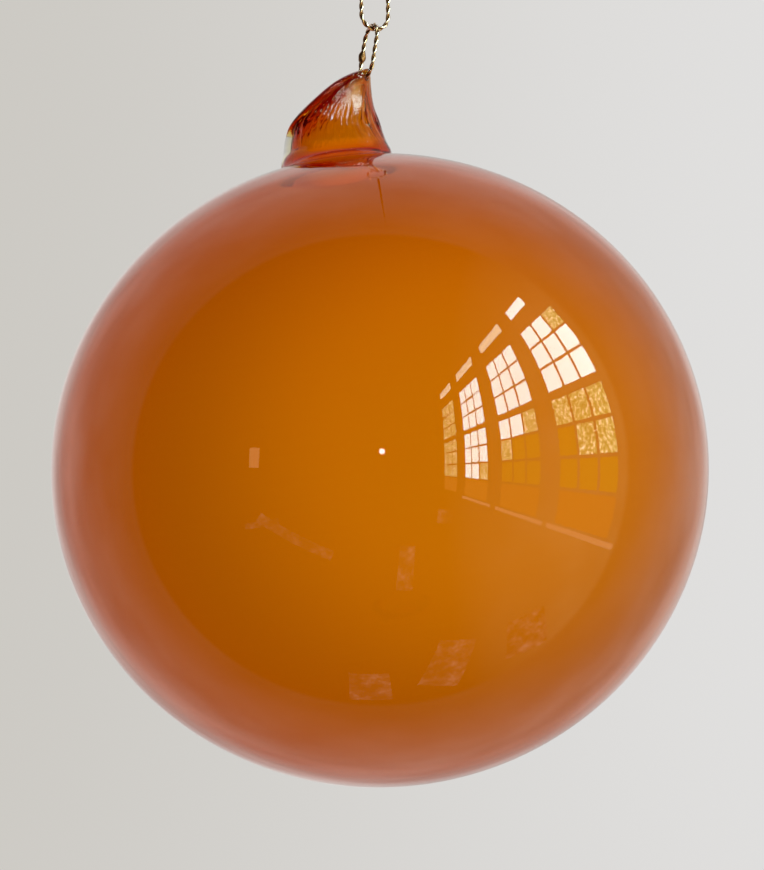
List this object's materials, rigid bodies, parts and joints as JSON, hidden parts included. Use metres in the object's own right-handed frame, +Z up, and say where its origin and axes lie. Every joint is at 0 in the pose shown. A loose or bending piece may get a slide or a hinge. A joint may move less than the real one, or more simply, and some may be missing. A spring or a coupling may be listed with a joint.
{
  "type": "glass orb ornament",
  "caption": "Blown amber glass ball with a drawn, folded neck that ends in a small eye, hung from oval links of twisted brass wire.",
  "frame": {"origin": "the hanging point: the inside of the top of the upper link, where a nail or a hook takes the weight", "axes": "+Z up along the way it hangs, +X to the right, +Y to the back; the neck leans to the left, -X, of the ball's top"},
  "size_m": [0.0999, 0.1, 0.1258],
  "materials": {
    "amber_glass": "fire-polished blown soda-lime glass, amber, see-through",
    "antique_brass": "twisted wire, polished on the high spots and darkened in the hollows"
  },
  "bodies": {
    "root": {"glass_orb": "amber_glass", "lower_link": "antique_brass", "upper_link": "antique_brass"}
  },
  "joints": []
}
